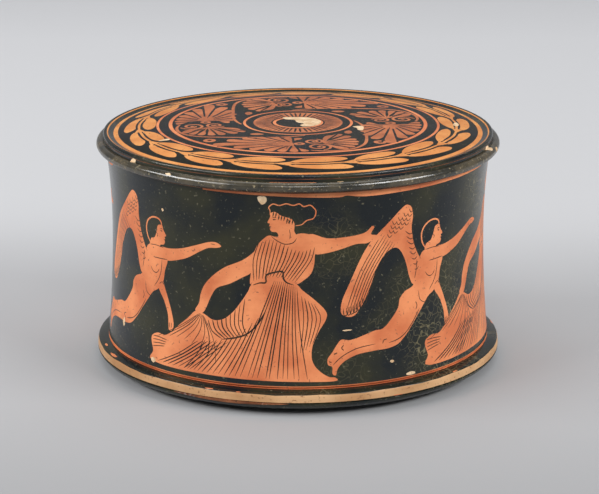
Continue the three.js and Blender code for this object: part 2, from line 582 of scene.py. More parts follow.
        self.line([(-27.6, 25.4), (-22, 26.6), (-17.6, 28.6), (-14, 32.4), (-11.6, 36.8)], 0.6)

    def youth(self) -> None:
        """A winged youth in flight, one arm stretched out and the other hanging."""
        wing = [(28.6, 63.2), (33.4, 67.4), (37.6, 71.2), (40, 72.6), (42.2, 71.4), (43.1, 68), (42.8, 63.6),
                (44.2, 58), (46.6, 53), (48.6, 50), (46, 45), (43.9, 43), (42.2, 46), (40.8, 51), (39, 55),
                (36.6, 57.4), (33.4, 56.8), (30, 53.4), (27.4, 48), (25.6, 42.6), (23, 38.2), (20.4, 34.9),
                (17.8, 34.4), (15.3, 36), (15.7, 40.4), (18.2, 46), (20.6, 51.2), (23.2, 56.4), (26, 60.6)]
        trunk = [(48.6, 54.4), (46.4, 51), (45.2, 46.6), (43.9, 42.6), (40.2, 41), (38, 38.6), (37.2, 35.4),
                 (33.8, 31.2), (30.8, 28.8), (27.6, 28.5), (22.6, 27), (18.4, 26), (15.4, 26.4),
                 (13.8, 24.8), (12, 22), (10.4, 19.8), (10.5, 17.6), (12, 16.8), (12, 14.4), (13.2, 13.8),
                 (14, 16.2), (16.4, 18.6), (21, 20.6), (27, 21.3), (33, 21.5), (37.2, 22.6), (41, 25.8),
                 (44.6, 30), (48, 34), (51, 37.4), (53.8, 39), (56.4, 42), (57.4, 46.4), (58.8, 50.4),
                 (58, 54.4), (54, 54.8)]
        arm_out = [(55, 54.6), (59.6, 54.9), (65.6, 56), (72.2, 58.2), (76.8, 59.8), (80, 60.2), (82.2, 59),
                   (80.4, 58.2), (77.2, 57.8), (73.8, 56.2), (68.2, 53), (63, 51.2), (58.6, 50.3), (54, 51)]
        arm_down = [(54, 40), (57, 35.4), (59, 31), (59.5, 27.2), (59.8, 25.2), (61.2, 25.2), (62, 27.4),
                    (61, 31.6), (59, 36.6), (56.8, 41.4), (55.6, 45)]
        for part in (wing, trunk, arm_out, arm_down):
            self.lay(Paint.CLAY, flowing(part))
        self.youth_head()
        self.youth_lines()
        self.youth_wing()

    def youth_head(self) -> None:
        """His head in profile with short hair, filled with slip inside a reserved contour."""
        face = [(54.2, 62.4), (56.4, 62.8), (57, 61.2), (58.3, 59.3), (57.5, 58.8), (57.8, 58), (57.4, 57.6),
                (57.6, 56.9), (56.9, 55.8), (55.2, 55.4), (54, 54), (49.4, 54), (50, 56.8), (52, 57.6),
                (53.2, 59.6)]
        self.lay(Paint.CLAY, flowing(face))
        self.reserve([(49.8, 55), (48, 57.6), (47.5, 60.6), (48.6, 63.2), (51.2, 64.9), (54, 65.1),
                      (55.8, 64.2), (56.3, 62.6)], 0.62)
        self.line([(55.4, 61.2), (56, 61.5), (56.6, 61.3)], 0.24)
        self.line([(55.4, 60.6), (56, 60.8), (56.5, 60.5)], 0.22)
        self.lay(Paint.RELIEF, arc((56.1, 60.55), 0.2, 0, 330, 8))
        self.line([(57.7, 57.8), (57, 57.8)], 0.2)
        self.line([(53.2, 59.7), (53.9, 59), (53.5, 58)], 0.24)
        for k in range(5):
            spot = (50.8 + 0.62 * k, 57.2 + 0.95 * k)
            self.lay(Paint.GLOSS, stroke([spot, (spot[0] + 0.8, spot[1] - 0.5)], 0.5))

    def youth_lines(self) -> None:
        """The lines of his chest, belly, thighs and ankles."""
        self.line([(49.4, 54.6), (53, 54.9), (57, 54.6)], 0.26)
        self.line([(51.6, 50.3), (55, 50.4), (58.6, 50.6)], 0.3)
        self.line([(45.6, 51.8), (45.4, 48.6), (44.6, 45)], 0.3)
        self.line([(49.6, 46.6), (51, 45), (53, 44.8), (54.4, 46.4)], 0.28)
        self.line([(55.8, 50), (55.4, 46), (54, 42.6), (51.6, 39.6)], 0.28)
        self.line([(46.4, 40.4), (47, 37), (49.4, 35.6), (50.6, 37)], 0.26)
        self.line([(46.8, 33.8), (44.2, 30.2), (40.6, 26.2), (37, 24.2), (33.2, 23.4)], 0.34)
        self.line([(45, 36.6), (45.6, 35), (45, 33.6)], 0.3)
        self.line([(30.8, 23.4), (31.2, 24.6), (32.6, 24.9)], 0.32)
        self.line([(28, 23.7), (21, 22.8), (15.6, 20.4), (12.2, 17.4)], 0.3)
        self.line([(16.2, 22.4), (15.4, 23.4), (16.2, 24.4)], 0.34)
        self.line([(12.6, 21.2), (13.8, 21.8)], 0.4)
        self.line([(10.8, 18.8), (11.8, 18.4)], 0.36)
        self.line([(56.8, 41), (56, 42), (54.4, 41)], 0.26)
        self.line([(59.9, 28), (60.1, 26)], 0.26)
        self.line([(60.9, 28), (60.9, 26)], 0.24)
        self.line([(78, 59.4), (79.8, 59.3)], 0.2)

    def youth_wing(self) -> None:
        """Scale-like coverts near the shoulder and long flight feathers."""
        self.line([(43.2, 66), (43.6, 60), (45.4, 55.2), (47.6, 51.6)], 0.3)
        for share in shares(8):
            self.line([(40 + 4.6 * share, 63 - 14.6 * share), (42 + 3.6 * share, 61.6 - 13.4 * share),
                       (43.6 + 2.8 * share, 62 - 12.8 * share)], 0.3)
        for row in range(4):
            for k in range(4):
                u = 33.6 + 2.3 * k + 0.6 * row
                v = 62.2 + 2.4 * row + 1.2 * k - 0.9 * row
                self.line([(u - 1, v + 0.7), (u - 0.2, v - 0.7), (u + 1, v + 0.1)], 0.28)
        for share in shares(7):
            root = (30.6 + 5.2 * share, 63.4 - 4.6 * share)
            tip = (17 + 7 * share, 36 + 3.6 * share * share)
            middle = ((root[0] + tip[0]) / 2 - 1.5 + 0.6 * share, (root[1] + tip[1]) / 2 + 0.6)
            self.line([root, middle, tip], 0.3)
            end = ((-0.9, 1.6), (-0.6, -0.9), (0.6, -0.6), (1, 2))
            self.line([(tip[0] + du, tip[1] + dv) for du, dv in end], 0.34)

    def paint(self) -> None:
        """Draws all repeats of the two figures round the wall."""
        for k in range(REPEATS):
            self.shift = (k - 1) * REPEAT_PITCH
            self.seed = k + 3
            self.youth()
            self.shift -= self.early[k]
            self.woman()


@dataclass
class TopOrnament:
    """Rings, laurel wreath, four double palmettes and tongues on the lid's top.

    The palmette unit is drawn at the left of the field, and the others are turned from it.
    """

    sheet: Sheet
    rim_ring: float = 66.9
    outer_ring: float = 51.6
    inner_ring: float = 46.9
    middle_ring: float = 19.7
    tongue_ends: float = 16.4
    tongue_roots: float = 9.9
    tongue_count: int = 46
    eye_ring: float = 8.7
    stem_radius: float = 58.5
    outer_leaf: Point = (60.6, 62.9)
    inner_leaf: Point = (56.8, 54.9)
    unit_turns: tuple[float, ...] = (0.0, 91.5, 179.0, 271.0)
    joints: tuple[float, ...] = (165.6, 188.5, 207.8, 227.6, 246.2, 265.9, 288.7, 308.8, 331.2, 353.2,
                                 374.4, 395.0, 415.5, 436.5, 457.5, 478.5, 502.0)
    petal_swell: tuple[float, ...] = (0.14, 0.18, 0.3, 0.48, 0.74, 1.0, 0.72)
    leaf_swell: tuple[Point, ...] = ((0, 0.06), (0.12, 0.55), (0.33, 0.95), (0.6, 1.0), (0.86, 0.74),
                                     (0.97, 0.34))

    def lay(self, paint: Paint, outline: list[Point], turn: float) -> None:
        """Adds a shape of the left-hand unit."""
        self.sheet.add(paint, turned(outline, turn))

    def ring(self, radius: float, width: float, paint: Paint = Paint.CLAY) -> None:
        """Lays a ring, as a disc of one paint with a disc of slip over its middle."""
        self.sheet.add(paint, arc((0, 0), radius + width / 2, 0, 358, 179))
        self.sheet.add(Paint.DULL, arc((0, 0), radius - width / 2, 0, 358, 179))

    def petal(self, root: Point, tip: Point, width: float, lean: float) -> list[Point]:
        """Outline of a petal that is thin at its root and round at its tip.

        Args:
            root: Where it grows.
            tip: Where it ends.
            width: Its greatest width.
            lean: How far its middle bends to the left.

        Returns:
            The closed outline.
        """
        a, b = np.array(root), np.array(tip)
        along = b - a
        ahead = along / np.linalg.norm(along)
        side = np.array([-ahead[1], ahead[0]])
        shares = np.linspace(0, 1, len(self.petal_swell))
        path = [a + along * t + side * lean * math.sin(math.pi * t) for t in shares]
        left = [p + side * width / 2 * w for p, w in zip(path, self.petal_swell)]
        right = [p - side * width / 2 * w for p, w in zip(path, self.petal_swell)]
        end = b + ahead * width * 0.16
        return flowing(pairs(left + [end] + right[::-1]), True, 3)

    def fan(self, core: Point, tips: list[Point], widest: float, turn: float) -> None:
        """Draws a palmette, with petals as broad as their neighbours let them be.

        Args:
            core: Where the petals grow.
            tips: Where they end, in their order.
            widest: Greatest width of a petal.
            turn: Degrees to its own unit.
        """
        middle = (len(tips) - 1) / 2
        for k, tip in enumerate(tips):
            beside = [tips[j] for j in (k - 1, k + 1) if 0 <= j < len(tips)]
            width = min(widest, 0.86 * min(math.dist(tip, other) for other in beside))
            self.lay(Paint.DEEP, self.petal(core, tip, width, (k - middle) * 0.3), turn)
        start = np.array(core)
        for a, b in zip(tips, tips[1:]):
            reach = (np.array(a) + np.array(b)) / 2 - start
            gap = stroke([start + reach * t for t in (0.3, 0.6, 0.85, 1.12)], 0.85, 0.75)
            self.lay(Paint.DULL, gap, turn)

    def spiral(self, centre: Point, size: float, start: float, turn: float, ways: int = 1) -> None:
        """Draws a volute: a reserved spiral round a small eye.

        Args:
            centre: Middle of the volute.
            size: Radius of its outer end.
            start: Angle of its outer end in degrees.
            turn: Degrees to its own unit.
            ways: 1 to wind anticlockwise, -1 to wind clockwise.
        """
        path = []
        for t in np.linspace(0, 1, 30):
            angle = math.radians(start) + ways * t * 2 * math.pi * 1.45
            reach = size * (1 - 0.72 * t)
            path.append((centre[0] + reach * math.cos(angle), centre[1] + reach * math.sin(angle)))
        self.lay(Paint.DEEP, stroke(path, 1.05, 0.7), turn)
        self.lay(Paint.DEEP, arc(centre, size * 0.17, 0, 330, 11), turn)

    def bud(self, centre: Point, size: float, turn: float) -> None:
        """A small round bud with a dark middle."""
        self.lay(Paint.DEEP, arc(centre, size, 0, 345, 23), turn)
        self.lay(Paint.DULL, arc(centre, 0.8, 0, 330, 11), turn)

    def double_palmette(self, turn: float) -> None:
        """Draws one unit: two fans back to back, two volutes, a tendril, buds and a drop.

        Args:
            turn: Degrees to the unit's place.
        """
        large = [(-44.4, -1.6), (-44.9, 2.4), (-44.4, 7), (-43.2, 12), (-41.2, 17.4), (-38.2, 23),
                 (-33.6, 30.4), (-28, 25.4), (-25, 19.8), (-24, 14.4), (-23.9, 9.2), (-24.4, 4.4),
                 (-25.6, 0.4)]
        small = [(-41.2, -16), (-38.4, -18.6), (-35, -20), (-31, -20.4), (-27.2, -19.6), (-22.6, -17.6),
                 (-19.6, -14.6), (-21.6, -11.6)]
        tendril = [(-43.3, -3.4), (-44.2, -8), (-43.3, -14), (-40, -19.4), (-34.6, -22.7), (-27, -23.9),
                   (-17, -24), (-8, -23.8), (-2, -22.6), (2.6, -20.8)]
        drop = [(-18.6, 17.8), (-17.2, 16.6), (-17.2, 14.4), (-18.8, 12.8), (-19.8, 14.8), (-19.6, 16.6)]
        self.bud((-34, 0.4), 2.0, turn)
        self.fan((-34.2, 2.6), large, 4.4, turn)
        self.fan((-32.6, -8.2), small, 3.5, turn)
        self.spiral((-38.6, -6.4), 4.6, 200, turn)
        self.spiral((-30.4, -4.6), 3.6, -20, turn, -1)
        self.lay(Paint.DEEP, stroke(flowing(tendril, False, 5), 1.15, 0.6), turn)
        self.bud((-31.6, -28.4), 2.3, turn)
        self.lay(Paint.DEEP, flowing(drop), turn)

    def leaf(self, root: Point, tip: Point, width: float) -> None:
        """Draws one long laurel leaf.

        Args:
            root: Where it leaves the stem.
            tip: Where it ends.
            width: Its greatest width.
        """
        a, b = np.array(root), np.array(tip)
        along = b - a
        side = np.array([-along[1], along[0]]) / np.linalg.norm(along) * width / 2
        left = [a + along * t + side * w for t, w in self.leaf_swell]
        right = [a + along * t - side * w for t, w in self.leaf_swell]
        self.sheet.add(Paint.LEAF, flowing(pairs(left + [b] + right[::-1]), True, 4))

    def wreath(self) -> None:
        """Pairs of leaves along a stem, each pair growing out of the one before."""
        middle = self.stem_radius
        ends = self.joints[1:] + (self.joints[0] + 360,)
        for first, last in zip(self.joints, ends):
            pitch = last - first
            wide = 4.9 + 0.3 * math.sin(first)
            self.leaf(at(self.outer_leaf[0], first + 1.4), at(self.outer_leaf[1], last - 0.9), wide)
            self.leaf(at(self.inner_leaf[0], first + 1.4), at(self.inner_leaf[1], last - 0.4), wide)
            gap = [at(middle, first + 2.6), at(middle, first + pitch * 0.55), at(middle - 0.1, last - 0.6)]
            stem = [at(middle + 0.1, first - 2.6), at(middle, first + pitch * 0.5),
                    at(middle - 0.1, last - 2)]
            flare = [at(middle, last - 3.4), at(59.6, last - 0.8), at(60.6, last + 2.8),
                     at(middle - 0.1, last + 1.2), at(56.4, last + 2.8), at(57.4, last - 0.8)]
            self.sheet.add(Paint.DULL, stroke(flowing(gap, False, 5), 2.6, 0.5))
            self.sheet.add(Paint.LEAF, stroke(flowing(stem, False, 5), 0.9, 0.7))
            self.sheet.add(Paint.LEAF, flowing(flare, True, 3))

    def tongues(self) -> None:
        """A reserved zone with radial tongues of slip round the middle."""
        self.sheet.add(Paint.DEEP, arc((0, 0), self.tongue_ends, 0, 357, 119))
        draw = random.Random(5)
        for k in range(self.tongue_count):
            turn = 360 / self.tongue_count * k + draw.uniform(-0.8, 0.8)
            tongue = stroke([(9.6, 0), (12.5, 0), (15.6, 0)], 0.72 + 0.2 * draw.random(), 0.6)
            self.sheet.add(Paint.DULL, turned(tongue, turn))
        self.sheet.add(Paint.DULL, arc((0, 0), self.tongue_roots, 0, 356, 89))

    def chips(self) -> None:
        """Places where the surface is lost, most of all over the middle."""
        middle = [(-5.6, 8.4), (-1, 9), (4, 8.2), (7.8, 4.4), (8.4, -0.4), (6.4, -5), (2.2, -6.6),
                  (0.8, -4.2), (2.2, -2), (-0.4, 0.6), (-1.4, 4.6), (-4.4, 5.2)]
        beside_ring = [(20, -6.6), (23.4, -5.6), (24, -8.8), (23.4, -12.6), (21.8, -12), (21.4, -9)]
        left = [(-48.6, -24), (-46.6, -23.2), (-46.2, -25.2), (-50, -25.6)]
        right = [(57, 0.6), (58.4, 6), (59.4, 3), (58.6, -0.4)]
        for outline in (middle, beside_ring, left, right):
            self.sheet.add(Paint.CHIP, flowing(outline))

    def paint(self) -> None:
        """Lays the rings from the outside in, with the ornament between them."""
        self.ring(self.rim_ring, 1.5, Paint.LEAF)
        self.wreath()
        self.ring(self.outer_ring, 0.95)
        self.ring(self.inner_ring, 1.35)
        for turn in self.unit_turns:
            self.double_palmette(turn)
        self.ring(self.middle_ring, 1.0)
        self.tongues()
        self.ring(self.eye_ring, 1.15)
        self.chips()


@dataclass
class Lid:
    """The slip-over lid: bore, figured wall, moulded rim and ornamented top."""

    top: float
    seat: float = 9.6
    edge: float = 0.45
    skirt: float = 70.95
    skirt_inside: float = 65.75
    bore: float = 64.7
    waist: Point = (68.8, 52.5)
    shoulder: Point = (70.5, 79.2)
    torus: Point = (72.3, 82.1)
    torus_size: float = 1.85
    cove_gap: float = 0.4
    bead: Point = (70.75, 85.5)
    bead_size: float = 0.9
    valley: Point = (67.6, 85.5)
    flat_radius: float = 38.0
    thickness: float = 5.4
    fillet: float = 7.0

    def wall(self) -> Profile:
        """Outer outline from the foot of the wall over the rim to the valley.

        Returns:
            The outline, measured by height up to the shoulder and by its length from there.
        """
        foot = (self.skirt, self.seat + self.edge)
        middle = (self.waist[0], (foot[1] + self.waist[1]) / 2)
        points = [foot] + bend(foot, middle, self.waist, 13)
        upper = (self.waist[0], (self.waist[1] + self.shoulder[1]) / 2)
        points += bend(self.waist, upper, self.shoulder, 9)
        measure = [z for _, z in points]
        cove = self.cove_end()
        rim = bend(self.shoulder, (self.shoulder[0], cove[1]), cove, 4)
        rim += arc(self.torus, self.torus_size, -90, 110, 20)
        rim += arc(self.bead, self.bead_size, -40, 100, 12)
        rim += bend(rim[-1], (self.valley[0] + self.bead_size, self.valley[1]), self.valley, 6)
        measure += measured([self.shoulder] + rim, self.shoulder[1])[1:]
        return Profile(points + rim, measure)

    def cove_end(self) -> Point:
        """Where the cove under the torus meets it."""
        return self.torus[0] - self.cove_gap, self.torus[1] - self.torus_size

    def top_field(self) -> Profile:
        """Outline of the top from the middle to the valley, measured by its radius.

        Returns:
            The outline.
        """
        corner = ((self.valley[0] * 2 + self.flat_radius) / 3, self.top - (self.top - self.valley[1]) / 8)
        points = [(0.0, self.top), (self.flat_radius, self.top)]
        points += bend(points[-1], corner, self.valley, 14)
        return Profile(points, [r for r, _ in points])

    def inner_outline(self) -> list[Point]:
        """Hidden side: ceiling, bore and the foot of the wall, up to its outer edge.

        Returns:
            The points in radius and height.
        """
        ceiling = self.top - self.thickness
        foot = self.seat + self.edge
        points = [(0.0, ceiling), (self.bore - self.fillet, ceiling)]
        points += bend(points[-1], (self.bore, ceiling), (self.bore, ceiling - self.fillet), 8)
        points.append((self.bore, self.waist[1]))
        flare = (self.bore, (self.waist[1] + self.seat) / 2)
        points += bend(points[-1], flare, (self.skirt_inside, foot), 8)
        points += [(self.skirt_inside + self.edge, self.seat), (self.skirt - self.edge, self.seat)]
        points += bend(points[-1], (self.skirt, self.seat), (self.skirt, foot), 3)
        return points

    def bands(self, sheet: Sheet, profile: Profile) -> None:
        """Reserved, dilute and worn bands on the wall's ends, the torus and the bead; the torus's worn gloss
        is lighter also as a painted highlight.

        Args:
            sheet: The wall's sheet.
            profile: The outline that it is wrapped on.
        """
        foot = self.seat + self.edge
        torus_foot = profile.place_of(*self.cove_end())
        torus_side = profile.place_of(73.2, 80.5)
        torus_top = profile.place_of(71.7, 83.9)
        groove = profile.place_of(71.45, 84.8)
        outer_ring = profile.place_of(69.7, 86.1)
        inner_ring = profile.place_of(68.2, 85.6)
        reach = HALF_ROUND + 5
        for paint, bottom, top in (
            (Paint.CLAY, foot - 1, foot + 0.12),
            (Paint.DILUTE, self.shoulder[1] + 0.3, torus_side),
            (Paint.GLOSS, torus_foot - 0.7, torus_foot + 0.2),
            # The torus band: worn gloss, lighter in part as a painted highlight.
            (Paint.WORN, torus_foot + 0.2, torus_top),
            (Paint.DILUTE, groove - 0.12, groove + 0.1),
            (Paint.LEAF, outer_ring - 0.3, outer_ring + 0.2),
            (Paint.LEAF, inner_ring + 0.5, profile.measure[-1] + 1),
        ):
            sheet.add(paint, [(-reach, bottom), (reach, bottom), (reach, top), (-reach, top)])

    def worn_band(self, sheet: Sheet) -> None:
        """The reserved band under the rim, broad at the right front and broken at the left.

        Args:
            sheet: The wall's sheet.
        """
        low = [(-34, 79.0), (-10, 78.6), (2, 78.2), (14, 77.9), (17, 78.4), (24, 77.6), (44, 77.9),
               (66, 78.2), (90, 78.5), (112, 79)]
        left = [(-128, 78.6), (-112, 77.4), (-96, 76.9), (-88, 77.7), (-92, 79.3), (-126, 79.4)]
        chip = [(-13.8, 78.2), (-11.2, 78.3), (-10.8, 76.6), (-12.3, 75.3), (-13.6, 76.5)]
        sheet.add(Paint.CLAY, flowing(low, False, 3) + [(112, 79.6), (40, 79.7), (-34, 79.6)])
        sheet.add(Paint.CLAY, flowing(left))
        sheet.add(Paint.CHIP, flowing(chip))

    def chips(self, sheet: Sheet, profile: Profile) -> None:
        """Chipped and scratched places on the wall and the rim.

        Args:
            sheet: The wall's sheet.
            profile: The outline that it is wrapped on.
        """
        crest = profile.place_of(72.6, 83.9)
        edge = [(-9.6, 0), (-8.6, 0.5), (-6, 0.55), (-2, 0.4), (2, 0.5), (5.4, 0.3), (6, 0.05), (2, 0.15),
                (-2, 0.1), (-6, 0.2), (-8.4, 0.15)]
        sheet.add(Paint.CLAY, flowing([(u, crest + v) for u, v in edge]))
        for spot in (
            Spot(-79, 21, 1.0, 1.7), Spot(-57.5, 12.6, 1.5, 1.0), Spot(-52.8, 68.7, 0.6, 0.6),
            Spot(42, 11, 2.2, 0.6), Spot(34.3, 16.6, 0.9, 0.6), Spot(17.4, 29.6, 1.8, 0.25),
            Spot(-66, crest + 1.2, 1.6, 1.2), Spot(88, crest + 0.6, 2.4, 1.8), Spot(93, crest - 2, 1.6, 1.1),
            Spot(-46, crest - 1, 1.3, 0.5), Spot(14, crest + 0.2, 1.1, 0.35), Spot(131, 40, 1.4, 1.1),
            Spot(-150, 62, 1.1, 0.8), Spot(168, 16, 1.6, 0.9),
        ):
            sheet.add(Paint.CHIP, spot.outline(int(spot.across * 7 + spot.up), 0.7, 1.15))

    def build(self) -> bpy.types.Object:
        """Makes the whole lid as one closed mesh.

        Returns:
            The lid, with one material slot for each paint.
        """
        profile = self.wall()
        wall = Sheet()
        self.worn_band(wall)
        Figures(wall).paint()
        self.bands(wall, profile)
        self.chips(wall, profile)
        top = Sheet(Paint.DULL)
        TopOrnament(top).paint()
        inner = spun("lid_inner", self.inner_outline(), Paint.CLAY)
        outer = round_sheet("lid_wall", wall, profile)
        cover = disc_sheet("lid_top", top, self.top_field())
        return joined("lid_ceramic", [inner, outer, cover])


@dataclass
class Box:
    """The box: ring foot, flange with its reserved band, inner wall and floor."""

    radius: float
    band_bottom: float = 5.5
    band_height: float = 2.85
    foot_radius: float = 60.4
    foot_flat: float = 4.6
    foot_height: float = 1.9
    edge: float = 0.5
    rise: float = 2.4
    crown: float = 0.7
    under_radius: float = 71.0
    groove: float = 0.45
    groove_height: float = 0.6
    seat: Point = (71.0, 9.2)
    wall_radius: float = 63.6
    wall_thickness: float = 3.8
    wall_top: float = 79.0
    floor: float = 7.8
    dish: float = 0.5
    fillet: float = 5.0
    slip_rings: tuple[Point, ...] = ((8.0, 9.6), (30.0, 36.0))

    def foot_outline(self) -> list[Point]:
        """Underside from the middle to the flange, with the ring foot.

        Returns:
            The points in radius and height.
        """
        outer = self.foot_radius - self.edge
        inner = outer - self.foot_flat
        side = inner - self.edge
        points = [(0.0, self.rise + self.crown), (side - self.rise, self.rise)]
        points += bend(points[-1], (side, self.rise), (side, self.edge), 4)
        points += bend(points[-1], (side, 0), (inner, 0), 3)
        points.append((outer, 0.0))
        points += bend(points[-1], (self.foot_radius, 0), (self.foot_radius, self.edge), 3)
        points += bend(points[-1], (self.foot_radius, self.foot_height),
                       (self.foot_radius + self.foot_height, self.foot_height), 4)
        points.append((self.under_radius, self.foot_height))
        return points

    def flange(self) -> Profile:
        """Outer edge of the flange, from its underside up to the seat of the lid.

        Returns:
            The outline, measured by its length.
        """
        top = self.band_bottom + self.band_height
        start = (self.under_radius, self.foot_height)
        points = [start]
        points += bend(start, (self.radius - self.groove, self.foot_height + self.groove_height * 2),
                       (self.radius, self.band_bottom - self.groove_height), 8)
        points.append((self.radius - self.groove, self.band_bottom - self.groove_height / 2))
        points.append((self.radius, self.band_bottom))
        points += bend(points[-1], (self.radius, top), (self.radius - self.edge, top), 6)
        points += [(self.radius - 1.6, top + 0.27), self.seat]
        return Profile(points, measured(points, 0))

    def inner_outline(self) -> list[Point]:
        """Seat, inner wall, rim and floor.

        Returns:
            The points in radius and height.
        """
        inner = self.wall_radius - self.wall_thickness
        rim = self.wall_thickness / 2
        points = [self.seat, (self.wall_radius + 1, self.seat[1])]
        points += bend(points[-1], (self.wall_radius, self.seat[1]), (self.wall_radius, self.seat[1] + 1), 3)
        points += arc((inner + rim, self.wall_top - rim), rim, 0, 180, 10)
        points.append((inner, self.floor + self.fillet))
        points += bend(points[-1], (inner, self.floor), (inner - self.fillet, self.floor), 8)
        points.append((0.0, self.floor - self.dish))
        return points

    def paint_flange(self, profile: Profile) -> Sheet:
        """Reserved band, the thin brown band at the left front, and chips.

        Args:
            profile: The outer edge that is painted.

        Returns:
            The painted sheet.
        """
        sheet = Sheet()
        low = profile.place_of(self.radius, self.band_bottom)
        high = profile.place_of(self.radius - self.edge, self.band_bottom + self.band_height)
        upper = []
        for share in np.linspace(0, 1, 121):
            wave = 0.12 * math.sin(math.tau * 17 * share) + 0.08 * math.sin(math.tau * 44 * share)
            upper.append((HALF_ROUND * (1 - 2 * share), high - 0.35 + wave))
        sheet.add(Paint.PALE, [(-HALF_ROUND, low), (HALF_ROUND, low)] + upper)
        thin = [(-44, low - 1.0), (-36, low - 1.5), (-24, low - 1.9), (-12, low - 1.6), (-3, low - 0.9),
                (-10, low - 0.5), (-24, low - 0.5), (-38, low - 0.55)]
        sheet.add(Paint.DILUTE, flowing(thin))
        for spot in (
            Spot(-80, high + 0.6, 3.4, 0.6), Spot(-92, high + 1.4, 2, 0.5), Spot(-30, high + 0.1, 1.8, 0.3),
            Spot(-24, low - 0.3, 2.6, 0.3), Spot(-20, high + 0.1, 1.2, 0.25), Spot(34, low, 2, 0.3),
            Spot(60, high + 0.2, 1.5, 0.3), Spot(120, high, 2.4, 0.5), Spot(-170, low, 2.6, 0.6),
        ):
            sheet.add(Paint.CLAY, spot.outline(int(spot.across * 5 + spot.up * 3), 0.6, 1.1))
        return sheet

    def build(self) -> bpy.types.Object:
        """Makes the whole box as one closed mesh.

        Returns:
            The box, with one material slot for each paint.
        """
        profile = self.flange()
        foot = spun("box_foot", self.foot_outline(), Paint.GLOSS)
        edge = round_sheet("box_flange", self.paint_flange(profile), profile)
        inner = spun("box_inner", self.inner_outline(), Paint.CLAY)
        made = joined("box_ceramic", [foot, edge, inner])
        self.paint_plain(made)
        return made

    def paint_plain(self, made: bpy.types.Object) -> None:
        """Gives the underside its reserved rings and the inside its slip.

        Args:
            made: The joined box.
        """
        inner = self.wall_radius - self.wall_thickness
        for face in made.data.polygons:
            radius = math.hypot(face.center.x, face.center.y) / MM
            height = face.center.z / MM
            under = height < self.rise + self.crown and radius < self.foot_radius - self.edge
            if under:
                slip = any(low < radius < high for low, high in self.slip_rings)
                face.material_index = int(Paint.GLOSS if slip else Paint.CLAY)
            elif radius < inner + 0.3 and height > self.rise + self.crown:
                face.material_index = int(Paint.GLOSS)


